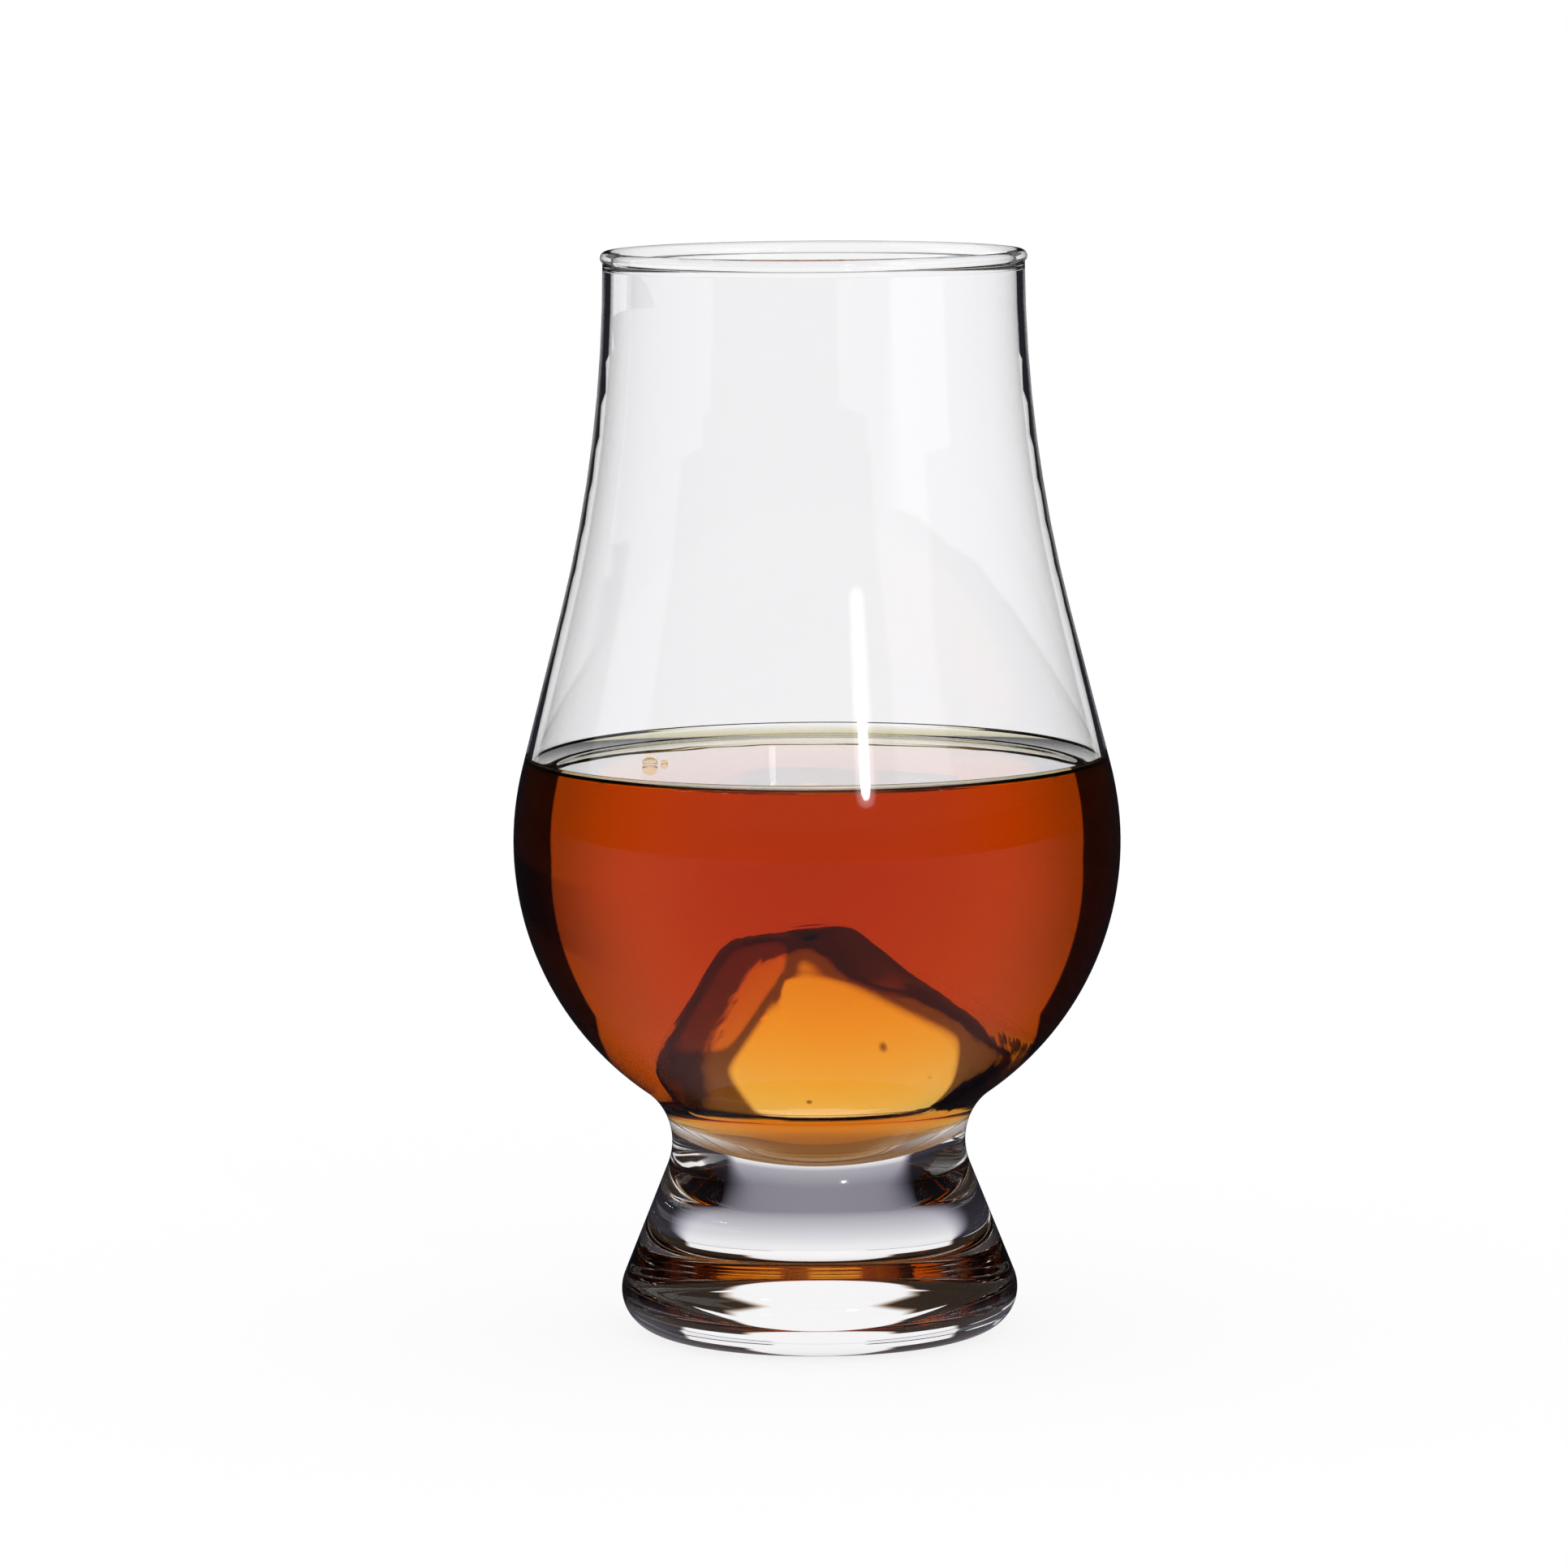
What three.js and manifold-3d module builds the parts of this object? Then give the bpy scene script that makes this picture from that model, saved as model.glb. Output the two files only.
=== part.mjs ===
// A tulip-shaped whisky glass: a thin blown bowl fused to a solid pressed foot, holding a measure of
// whisky and one lump of ice. Millimetres, +Z up. The origin is the middle of the face it stands on.
import * as THREE from 'three';
import { mergeVertices } from 'three/addons/utils/BufferGeometryUtils.js';
import Module from 'manifold-3d';

const wasm = await Module();
wasm.setup();

// Whole glass
const height = 115;
const mouthDiameter = 45; // over the rim's bead

// Bowl
const bellyDiameter = 64.5;
const bellyHeight = 52.3; // of the widest place
const shoulderLength = 17; // straight run between the round belly and the throat's long curve
const wall = 0.9;
const rimBead = 0.7; // radius of the fire-polished edge
const funnelSlope = THREE.MathUtils.degToRad(32.4); // of the inside, next to the rounded floor
const floorDrop = 2.2; // the inside floor lies this far below the narrowest place
const bowlBase = 3; // solid glass below the inside floor, where the foot is pressed on

// Neck and foot
const neckDiameter = 31.3; // at the narrowest place
const neckFillet = 7;
const footDiameter = 42.3;
const footEdge = 4.3; // radius of the rounded lower edge
const puntDiameter = 30; // hollow under the foot
const puntDepth = 2.2;

// Whisky
const fillHeight = 60.4; // of its level surface
const meniscusRise = 1.3;
const meniscusReach = 2.4;
const fillClearance = 0.3; // to the bowl

// Ice, a broken block worn round as it melts: a peak, with a lower shoulder on its right. These are the
// distances of its flat faces from the middle of the lump.
const iceFront = 13.2;
const iceBack = 16.5;
const iceBottom = 9.9;
const iceLowerBack = 14.5;
const iceLowerRight = 13;
const iceRightEnd = 15.8;
const iceUpperRight = 12.1;
const peakBackRight = 8.9;
const peakTopLeft = 10.4;
const peakTop = 11.4;
const peakLeftFront = 11.5;
const peakLeft = 11.6;
const peakLowerLeft = 15.2;
const peakLowerLeftBack = 13.2;
const shoulderTop = 9.2;
const shoulderRight = 15;
const shoulderLevel = 6.4; // hidden in the peak
const shoulderInner = 4; // hidden in the peak
const iceNotch = 1.2; // depth of the melted notch in its top
const iceNotchSpread = 0.012; // of the notch, as a share of the way round
const iceSharpness = 22; // higher leaves crisper edges
const iceJoin = 30; // higher leaves a crisper join of peak and shoulder
const iceShift = 0.6; // to the right of the glass's axis
const iceClearance = 0.3; // to the whisky, and to the bowl it rests on

// Fineness of the round surfaces
const segments = 48;
const neckSteps = 6;
const bellySteps = 15;
const throatSteps = 8;
const beadSteps = 8;
const floorSteps = 5;
const edgeSteps = 8;
const puntSteps = 6;
const meniscusSteps = 4;
const iceDetail = 6;

const quarter = Math.PI / 2;
const bellyRadius = bellyDiameter / 2;
const neckRadius = neckDiameter / 2;
const puntRadius = puntDiameter / 2;

// Profiles are drawn in the plane of the axis: x is the distance from it and y the height.
const point = (radius, z) => new THREE.Vector2(radius, z);

function arc(centre, radius, from, to, steps) {
  const points = [];
  for (let step = 0; step <= steps; step++) {
    const angle = from + (to - from) * step / steps;
    points.push(point(centre.x + radius * Math.cos(angle), centre.y + radius * Math.sin(angle)));
  }
  return points;
}

function turned(profile) {
  const geometry = new THREE.LatheGeometry(profile, segments);
  geometry.rotateX(quarter);
  return geometry;
}

// The rim is a round bead. The throat curves in to meet it upright, and touches the end of the straight
// shoulder, which touches the belly.
const bellyCentre = point(0, bellyHeight);
const rimCentre = point(mouthDiameter / 2 - rimBead, height - rimBead);
const throatRadius = rimCentre.x + wall / 2;
const throatRise = rimCentre.y - bellyHeight;
const throatCurve = (throatRise ** 2 + throatRadius ** 2 - bellyRadius ** 2 - shoulderLength ** 2)
  / (2 * (bellyRadius - throatRadius));
const throatCentre = point(throatRadius + throatCurve, rimCentre.y);
const shoulderAngle = Math.atan2(throatRise, throatCentre.x)
  - Math.atan2(shoulderLength, bellyRadius + throatCurve);
const beadStart = Math.acos(wall / 2 / rimBead);
const beadDrop = rimBead * Math.sin(beadStart);

// The neck's fillet touches the belly above and the foot's straight flare below.
const neckCentre = point(neckRadius + neckFillet, 0);
neckCentre.y = bellyHeight - Math.sqrt((bellyRadius + neckFillet) ** 2 - neckCentre.x ** 2);
const neckJoin = Math.atan2(bellyHeight - neckCentre.y, -neckCentre.x);
const edgeCentre = point(footDiameter / 2 - footEdge, footEdge);
const flareAngle = neckCentre.clone().sub(edgeCentre).angle()
  - Math.acos((footEdge + neckFillet) / neckCentre.distanceTo(edgeCentre));

// The two glass pieces meet at a flat seam in the flare.
const insideFloor = neckCentre.y - floorDrop;
const seamHeight = insideFloor - bowlBase;
const flareEnd = arc(edgeCentre, footEdge, flareAngle, flareAngle, 1)[0];
const seamRadius = flareEnd.x - (seamHeight - flareEnd.y) * Math.tan(flareAngle);

function throat(inset) {
  const curve = throatCurve + inset;
  const top = Math.PI + Math.asin(beadDrop / curve);
  return arc(throatCentre, curve, Math.PI + shoulderAngle, top, throatSteps);
}

// The inside of the bowl from the middle of its floor to the rim, set in from the outer face.
function inside(inset) {
  const radius = bellyRadius - inset;
  const floor = insideFloor + inset - wall;
  const tip = 1 / Math.cos(funnelSlope);
  const floorCurve = (floor - bellyHeight + radius * tip) / (tip - 1);
  return [
    ...arc(point(0, floor + floorCurve), floorCurve, -quarter, funnelSlope - quarter, floorSteps),
    ...arc(bellyCentre, radius, funnelSlope - quarter, shoulderAngle, bellySteps),
    ...throat(inset),
  ];
}

function bowlShape() {
  return turned([
    point(0, seamHeight),
    point(seamRadius, seamHeight),
    ...arc(neckCentre, neckFillet, Math.PI + flareAngle, neckJoin, neckSteps),
    ...arc(bellyCentre, bellyRadius, neckJoin - Math.PI, shoulderAngle, bellySteps).slice(1),
    ...throat(0),
    ...arc(rimCentre, rimBead, -beadStart, Math.PI + beadStart, beadSteps).slice(1, -1),
    ...inside(wall).reverse(),
  ]);
}

function footShape() {
  const puntCurve = (puntRadius ** 2 + puntDepth ** 2) / (2 * puntDepth);
  const puntHalf = Math.asin(puntRadius / puntCurve);
  return turned([
    ...arc(point(0, puntDepth - puntCurve), puntCurve, quarter, quarter - puntHalf, puntSteps),
    ...arc(edgeCentre, footEdge, -quarter, flareAngle, edgeSteps),
    point(seamRadius, seamHeight),
    point(0, seamHeight),
  ]);
}

// The height of a rising profile at a distance from the axis, and its distance from the axis at a height.
function crossing(profile, along, across, value) {
  const after = profile.findIndex((place) => place[along] > value);
  const low = profile[after - 1];
  const high = profile[after];
  return low[across] + (high[across] - low[across]) * (value - low[along]) / (high[along] - low[along]);
}

function whiskyShape() {
  const skin = inside(wall + fillClearance);
  const top = fillHeight + meniscusRise;
  const topRadius = crossing(skin, 'y', 'x', top);
  const meniscus = [];
  for (let step = 0; step <= meniscusSteps; step++) {
    const angle = quarter * step / meniscusSteps;
    const inward = meniscusReach * (1 - Math.cos(angle));
    meniscus.push(point(topRadius - inward, top - meniscusRise * Math.sin(angle)));
  }
  return turned([...skin.filter((place) => place.y < top), ...meniscus, point(0, fillHeight)]);
}

// The way each face of the ice looks, with its distance.
const sharedFaces = [
  { facing: [0.03, -0.99, 0.08], distance: iceFront },
  { facing: [0.1, 0.97, 0.22], distance: iceBack },
  { facing: [0, 0, -1], distance: iceBottom },
  { facing: [0.05, 0.72, -0.69], distance: iceLowerBack },
  { facing: [0.81, 0.1, -0.58], distance: iceLowerRight },
  { facing: [0.95, -0.29, 0.05], distance: iceRightEnd },
  { facing: [0.39, -0.55, 0.74], distance: iceUpperRight },
];
const peakFaces = [
  ...sharedFaces,
  { facing: [0.65, 0.12, 0.75], distance: peakBackRight },
  { facing: [-0.14, 0.05, 0.99], distance: peakTopLeft },
  { facing: [0.12, 0, 0.99], distance: peakTop },
  { facing: [-0.72, -0.45, 0.53], distance: peakLeftFront },
  { facing: [-0.857, 0.1, 0.515], distance: peakLeft },
  { facing: [-0.8, -0.5, -0.33], distance: peakLowerLeft },
  { facing: [-0.89, 0.3, -0.35], distance: peakLowerLeftBack },
];
const shoulderFaces = [
  ...sharedFaces,
  { facing: [0.53, 0, 0.85], distance: shoulderTop },
  { facing: [0.95, -0.1, 0.28], distance: shoulderRight },
  { facing: [0, 0, 1], distance: shoulderLevel },
  { facing: [-1, 0, 0], distance: shoulderInner },
];
const notchFacing = new THREE.Vector3(-0.12, -0.3, 0.94).normalize();

// A rounded block: in each direction its surface lies where the faces, blended, say.
function blockReach(direction, faces, grow) {
  let sum = 0;
  for (const { facing, distance } of faces) {
    const slope = direction.dot(new THREE.Vector3(...facing).normalize());
    sum += Math.max(0, slope / (distance + grow)) ** iceSharpness;
  }
  return sum ** (-1 / iceSharpness);
}

// Growing the lump moves every face out.
function iceShape(grow) {
  const geometry = new THREE.IcosahedronGeometry(1, iceDetail);
  const position = geometry.attributes.position;
  const direction = new THREE.Vector3();
  for (let index = 0; index < position.count; index++) {
    direction.fromBufferAttribute(position, index).normalize();
    const peak = blockReach(direction, peakFaces, grow);
    const shoulder = blockReach(direction, shoulderFaces, grow);
    const reach = (peak ** iceJoin + shoulder ** iceJoin) ** (1 / iceJoin);
    const notch = iceNotch * Math.exp((direction.dot(notchFacing) - 1) / iceNotchSpread);
    direction.multiplyScalar(reach - notch);
    position.setXYZ(index, direction.x, direction.y, direction.z);
  }
  return geometry;
}

// The lump sinks until it rests on the bowl.
function icePlace(shape) {
  const rest = inside(wall + iceClearance);
  const position = shape.attributes.position;
  let drop = Infinity;
  for (let index = 0; index < position.count; index++) {
    const x = position.getX(index) + iceShift;
    const y = position.getY(index);
    const z = position.getZ(index);
    drop = Math.min(drop, z - crossing(rest, 'x', 'y', Math.hypot(x, y)));
  }
  return new THREE.Vector3(iceShift, 0, -drop);
}

function toSolid(geometry) {
  const bare = geometry.clone();
  bare.deleteAttribute('normal');
  bare.deleteAttribute('uv');
  const merged = mergeVertices(bare, 1e-3);
  const triVerts = [];
  for (let corner = 0; corner < merged.index.count; corner += 3) {
    const [a, b, c] = [0, 1, 2].map((next) => merged.index.getX(corner + next));
    if (a !== b && b !== c && c !== a) {
      triVerts.push(a, b, c);
    }
  }
  return new wasm.Manifold(new wasm.Mesh({
    numProp: 3,
    vertProperties: new Float32Array(merged.attributes.position.array),
    triVerts: new Uint32Array(triVerts),
  }));
}

function toGeometry(solid) {
  const mesh = solid.getMesh();
  const geometry = new THREE.BufferGeometry();
  geometry.setAttribute('position', new THREE.BufferAttribute(mesh.vertProperties, 3));
  geometry.setIndex(new THREE.BufferAttribute(mesh.triVerts, 1));
  geometry.computeVertexNormals();
  return geometry;
}

function piece(name, geometry, color, roughness) {
  const material = new THREE.MeshStandardMaterial({ color, roughness, metalness: 0 });
  const mesh = new THREE.Mesh(geometry, material);
  mesh.name = name;
  return mesh;
}

const ice = iceShape(0);
const place = icePlace(ice);
const icePocket = iceShape(iceClearance).translate(place.x, place.y, place.z);
const whisky = toGeometry(toSolid(whiskyShape()).subtract(toSolid(icePocket)));

const glass = new THREE.Group();
glass.add(piece('bowl', bowlShape(), '#f1eff1', 0.03));
glass.add(piece('foot', footShape(), '#e4e2e8', 0.03));

const contents = new THREE.Group();
const lump = piece('ice_lump', ice, '#f3efe6', 0.12);
lump.position.copy(place);
contents.add(piece('whisky', whisky, '#a2380f', 0.02));
contents.add(lump);

const whiskyGlass = new THREE.Group();
whiskyGlass.add(glass);
whiskyGlass.add(contents);

export default whiskyGlass;
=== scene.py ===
"""The looks of a tulip whisky glass: clear glass, amber whisky and one worn lump of ice.

Lengths at the top are in millimetres, as on a maker's drawing, and become metres where they are used.
"""

import math

import bpy
from mathutils import Matrix, Vector


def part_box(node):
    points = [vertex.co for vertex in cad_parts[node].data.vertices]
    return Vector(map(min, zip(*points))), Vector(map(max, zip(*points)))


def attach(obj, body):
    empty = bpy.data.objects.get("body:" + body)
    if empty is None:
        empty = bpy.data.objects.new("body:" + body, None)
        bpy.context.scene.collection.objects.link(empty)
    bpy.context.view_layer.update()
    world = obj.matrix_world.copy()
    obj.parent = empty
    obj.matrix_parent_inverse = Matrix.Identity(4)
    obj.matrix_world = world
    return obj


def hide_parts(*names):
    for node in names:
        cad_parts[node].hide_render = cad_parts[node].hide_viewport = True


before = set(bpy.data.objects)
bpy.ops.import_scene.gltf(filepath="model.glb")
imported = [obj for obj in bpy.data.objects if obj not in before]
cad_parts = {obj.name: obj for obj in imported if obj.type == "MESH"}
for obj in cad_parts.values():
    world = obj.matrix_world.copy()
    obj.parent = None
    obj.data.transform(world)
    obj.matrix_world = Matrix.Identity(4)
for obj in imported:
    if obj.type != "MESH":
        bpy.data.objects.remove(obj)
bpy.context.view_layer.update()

MM = 0.001
QUARTER = math.pi / 2
SMOOTH = {"interpolation_type": "SMOOTHSTEP"}

# Glass, outside
HEIGHT = 115
MOUTH_RADIUS = 22.5
BELLY_RADIUS = 32.25
BELLY_HEIGHT = 52.3
SHOULDER_LENGTH = 17
RIM_BEAD = 0.7
NECK_RADIUS = 15.65
NECK_FILLET = 7
FOOT_RADIUS = 21.15
FOOT_EDGE = 4.3
PUNT_RADIUS = 15
PUNT_DEPTH = 2.2

# Glass, inside
WALL = 0.9
FUNNEL_SLOPE = math.radians(32.4)
FLOOR_DROP = 2.2

# Glass, surface: its index, and the slow waves that blowing leaves. Then its specular level, and that
# of the dry inside. Neither shows in the render, where clear glass takes its gloss from the index.
GLASS_INDEX = 1.5
GLASS_WAVE = 9
GLASS_WAVE_HEIGHT = 0.005
GLASS_SPECULAR = 0.1
GLASS_INSIDE_SPECULAR = 0.01

# Whisky. Its skin reaches a little into the wall, so that light passes from one to the other
# with no air between.
FILL_HEIGHT = 60.4
MENISCUS_RISE = 1.3
MENISCUS_REACH = 2.4
MENISCUS_STEPS = 12
WETTING = 0.04
WHISKY_INDEX = 1.36
WHISKY_DENSITY = 190
WHISKY_COAT_INDEX = 1.6
RIPPLE = 10
RIPPLE_HEIGHT = 0.05

# Painted shade on the whisky's sides: the slant of the skin at which it starts, at a low and a high place.
# It tapers away below. Painted shade also dims the whisky a little before it. It browns at the very bottom.
BAND_LOW = 33.5
BAND_LOW_SLANT = 0.232
BAND_HIGH = 52.3
BAND_HIGH_SLANT = 0.199
BAND_INNER_EDGE = -0.001
BAND_OUTER_EDGE = 0.003
TAPER_LOW = 26
TAPER_HIGH = 36
TAPER_SLANT = 0.061
BAND_BOTTOM = 26.5
DIM_SLANT = 0.13
DIM_LOW = 32
DIM_HIGH = 46
BROWN_LOW = 20
BROWN_HIGH = 24.5

# Faces of the whisky further than this from the belly's middle lie on the wall, unless they look up.
# Low ones nearer to it lie on the ice.
SKIN_DISTANCE = 30.8
LOOKS_UP = 0.5
ICE_BELOW = 50

# Faces of the glass that don't look outwards are its inside, down to a little under its floor.
LOOKS_OUT = 0.2
UNDER_FLOOR = 1

# Ice: the way each face looks, its distance from the middle of the lump, and how much painted shade it shows.
# A peak and a lower shoulder share the first faces.
ICE_SHARED = (
    ((0.03, -0.99, 0.08), 13.2, 0),
    ((0.1, 0.97, 0.22), 16.5, 0),
    ((0, 0, -1), 9.9, 0.3),
    ((0.05, 0.72, -0.69), 14.5, 0),
    ((0.81, 0.1, -0.58), 13, 0.9),
    ((0.95, -0.29, 0.05), 15.8, 1),
    ((0.39, -0.55, 0.74), 12.1, 1),
)
ICE_PEAK = ICE_SHARED + (
    ((0.65, 0.12, 0.75), 8.9, 0.6),
    ((-0.14, 0.05, 0.99), 10.4, 0.6),
    ((0.12, 0, 0.99), 11.4, 0.8),
    ((-0.72, -0.45, 0.53), 11.5, 0.37),
    ((-0.857, 0.1, 0.515), 11.6, 0.8),
    ((-0.8, -0.5, -0.33), 15.2, 1),
    ((-0.89, 0.3, -0.35), 13.2, 0.5),
)
ICE_SHOULDER = ICE_SHARED + (
    ((0.53, 0, 0.85), 9.2, 1),
    ((0.95, -0.1, 0.28), 15, 1),
    ((0, 0, 1), 6.4, 0),
    ((-1, 0, 0), 4, 0),
)
ICE_SHARPNESS = 22
ICE_JOIN = 30
ICE_NOTCH_FACING = Vector((-0.12, -0.3, 0.94)).normalized()
ICE_NOTCH_DEPTH = 1.2
ICE_NOTCH_SPREAD = 0.012
ICE_SHIFT = 0.6
ICE_SKIN = 0.05
ICE_FINENESS = 6
ICE_INDEX = 1.31
ICE_DIMPLE = 4
ICE_DIMPLE_DEPTH = 0.25

# Painted shade of the ice: how much its edges add, and where its right end turns dark. Then how dark a place
# is
# as it starts and ends to turn red and to turn black, and the slant of the surface that both need.
ICE_EDGE_PAINTED_SHADE = 1.6
ICE_PAINTED_SHADE_END = 10.2
ICE_PAINTED_SHADE_FADE = 2
ICE_RED = (0.2, 0.34)
ICE_BLACK = (0.42, 0.62)
ICE_SLANT = (0.04, 0.24)

# Specks trapped in the ice: their spacing, their size beside it, and the share of places left empty
ICE_SPECK_SPACING = 4
ICE_SPECK_INSIDE = 0.05
ICE_SPECK_OUTSIDE = 0.11
ICE_SPECK_RARITY = 0.6

# Bubbles on the whisky: place across and in depth, and radius
BUBBLES = (
    (-17.7, 0.5, 0.85),
    (-16.2, 1.6, 0.4),
    (-13.4, -25.7, 0.45),
    (-9.2, -27.6, 0.4),
    (-7.6, -28.1, 0.3),
    (-21.5, -19.4, 0.4),
    (12.6, -26.2, 0.4),
    (23.9, -16.4, 0.45),
)
BUBBLE_SQUASH = 0.85
BUBBLE_CLEARANCE = 0.02

# Film of a bubble, its cut below the middle and its lift, as shares of its radius
BUBBLE_FILM = 0.12
BUBBLE_CUT = 0.35
BUBBLE_LIFT = 0.4

# Fineness of the round surfaces
TURN_STEPS = 160
ARC_STEP = math.radians(2)
ARC_STEPS_LEAST = 6
LINE_STEP = 0.8
SAME_PLACE = 0.0001
MERGE_DISTANCE = 0.001
BUBBLE_TURN_STEPS = 24
BUBBLE_RINGS = 16
FLOOR_STEPS = 96

# Places worked out from the sizes above
RIM_CENTRE = (MOUTH_RADIUS - RIM_BEAD, HEIGHT - RIM_BEAD)
THROAT_RADIUS = RIM_CENTRE[0] + WALL / 2
THROAT_RISE = RIM_CENTRE[1] - BELLY_HEIGHT
THROAT_CURVE = (
    THROAT_RISE**2 + THROAT_RADIUS**2 - BELLY_RADIUS**2 - SHOULDER_LENGTH**2
) / (2 * (BELLY_RADIUS - THROAT_RADIUS))
THROAT_CENTRE = (THROAT_RADIUS + THROAT_CURVE, RIM_CENTRE[1])
SHOULDER_ANGLE = math.atan2(THROAT_RISE, THROAT_CENTRE[0]) - math.atan2(
    SHOULDER_LENGTH, BELLY_RADIUS + THROAT_CURVE
)
BEAD_START = math.acos(WALL / 2 / RIM_BEAD)
BEAD_DROP = RIM_BEAD * math.sin(BEAD_START)
NECK_REACH = NECK_RADIUS + NECK_FILLET
NECK_HEIGHT = BELLY_HEIGHT - math.sqrt((BELLY_RADIUS + NECK_FILLET) ** 2 - NECK_REACH**2)
NECK_JOIN = math.atan2(BELLY_HEIGHT - NECK_HEIGHT, -NECK_REACH)
EDGE_CENTRE = (FOOT_RADIUS - FOOT_EDGE, FOOT_EDGE)
FLARE_ANGLE = math.atan2(NECK_HEIGHT - EDGE_CENTRE[1], NECK_REACH - EDGE_CENTRE[0]) - math.acos(
    (FOOT_EDGE + NECK_FILLET) / math.dist((NECK_REACH, NECK_HEIGHT), EDGE_CENTRE)
)
INSIDE_FLOOR = NECK_HEIGHT - FLOOR_DROP
FILL_TOP = FILL_HEIGHT + MENISCUS_RISE


def arc(centre, radius, start, end):
    steps = max(ARC_STEPS_LEAST, math.ceil(abs(end - start) / ARC_STEP))
    angles = [start + (end - start) * step / steps for step in range(steps + 1)]
    return [(centre[0] + radius * math.cos(a), centre[1] + radius * math.sin(a)) for a in angles]


def joined(*runs):
    """One outline from several runs, with long straight gaps cut into short steps."""
    outline = []
    for place in (place for run in runs for place in run):
        if outline:
            last = outline[-1]
            gap = math.dist(last, place)
            if gap < SAME_PLACE:
                continue
            steps = math.ceil(gap / LINE_STEP)
            for step in range(1, steps):
                share = step / steps
                across = last[0] + (place[0] - last[0]) * share
                up = last[1] + (place[1] - last[1]) * share
                outline.append((across, up))
        outline.append(place)
    return outline


def throat(inset):
    curve = THROAT_CURVE + inset
    top = math.pi + math.asin(BEAD_DROP / curve)
    return arc(THROAT_CENTRE, curve, math.pi + SHOULDER_ANGLE, top)


def inside(inset):
    """The bowl's inside, this far in from its outside, from the middle of the floor up to the rim."""
    radius = BELLY_RADIUS - inset
    floor = INSIDE_FLOOR + inset - WALL
    tip = 1 / math.cos(FUNNEL_SLOPE)
    floor_curve = (floor - BELLY_HEIGHT + radius * tip) / (tip - 1)
    return joined(
        arc((0, floor + floor_curve), floor_curve, -QUARTER, FUNNEL_SLOPE - QUARTER),
        arc((0, BELLY_HEIGHT), radius, FUNNEL_SLOPE - QUARTER, SHOULDER_ANGLE),
        throat(inset),
    )


def glass_outline():
    punt_curve = (PUNT_RADIUS**2 + PUNT_DEPTH**2) / (2 * PUNT_DEPTH)
    punt_half = math.asin(PUNT_RADIUS / punt_curve)
    return joined(
        arc((0, PUNT_DEPTH - punt_curve), punt_curve, QUARTER, QUARTER - punt_half),
        arc(EDGE_CENTRE, FOOT_EDGE, -QUARTER, FLARE_ANGLE),
        arc((NECK_REACH, NECK_HEIGHT), NECK_FILLET, math.pi + FLARE_ANGLE, NECK_JOIN),
        arc((0, BELLY_HEIGHT), BELLY_RADIUS, NECK_JOIN - math.pi, SHOULDER_ANGLE),
        throat(0),
        arc(RIM_CENTRE, RIM_BEAD, -BEAD_START, math.pi + BEAD_START),
        inside(WALL)[::-1],
    )


def whisky_skin():
    return [place for place in inside(WALL - WETTING) if place[1] < FILL_TOP]


def whisky_outline():
    skin = whisky_skin()
    meniscus = []
    for step in range(MENISCUS_STEPS + 1):
        angle = QUARTER * step / MENISCUS_STEPS
        inward = MENISCUS_REACH * (1 - math.cos(angle))
        meniscus.append((skin[-1][0] - inward, FILL_TOP - MENISCUS_RISE * math.sin(angle)))
    return joined(skin, meniscus, [(0, FILL_HEIGHT)])


def whisky_height(away):
    """Height of the whisky's top at a distance from the axis."""
    inward = min(MENISCUS_REACH, max(0, whisky_skin()[-1][0] - away))
    climb = 1 - math.sqrt(1 - (1 - inward / MENISCUS_REACH) ** 2)
    return FILL_HEIGHT + MENISCUS_RISE * climb


def spun(name, outline):
    """Extrudes one corner along an outline and turns it about the upright axis."""
    bpy.ops.object.select_all(action="DESELECT")
    bpy.ops.mesh.primitive_plane_add(size=MM)
    piece = bpy.context.object
    piece.name = name
    bpy.ops.object.mode_set(mode="EDIT")
    bpy.ops.mesh.merge(type="CENTER")
    bpy.ops.transform.translate(value=(outline[0][0] * MM, 0, outline[0][1] * MM))
    here = outline[0]
    for place in outline[1:]:
        step = ((place[0] - here[0]) * MM, 0, (place[1] - here[1]) * MM)
        bpy.ops.mesh.extrude_region_move(TRANSFORM_OT_translate={"value": step})
        here = place
    bpy.ops.mesh.select_all(action="SELECT")
    bpy.ops.mesh.spin(steps=TURN_STEPS, angle=2 * math.pi, center=(0, 0, 0), axis=(0, 0, 1))
    bpy.ops.mesh.select_all(action="SELECT")
    bpy.ops.mesh.remove_doubles(threshold=MERGE_DISTANCE * MM)
    bpy.ops.mesh.normals_make_consistent(inside=False)
    bpy.ops.object.mode_set(mode="OBJECT")
    bpy.ops.object.shade_smooth()
    return piece


def ice_reach(way, faces, shrink):
    """How far the surface of a rounded block lies from its middle, and how much painted shade it shows there.
    """
    shares = [
        (max(0, way.dot(Vector(facing).normalized()) / (distance - shrink)) ** ICE_SHARPNESS, dark)
        for facing, distance, dark in faces
    ]
    total = sum(share for share, dark in shares)
    dark = sum(share * dark for share, dark in shares) / total
    edge = 1 - max(share for share, dark in shares) / total
    return total ** (-1 / ICE_SHARPNESS), dark + edge * ICE_EDGE_PAINTED_SHADE


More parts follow.
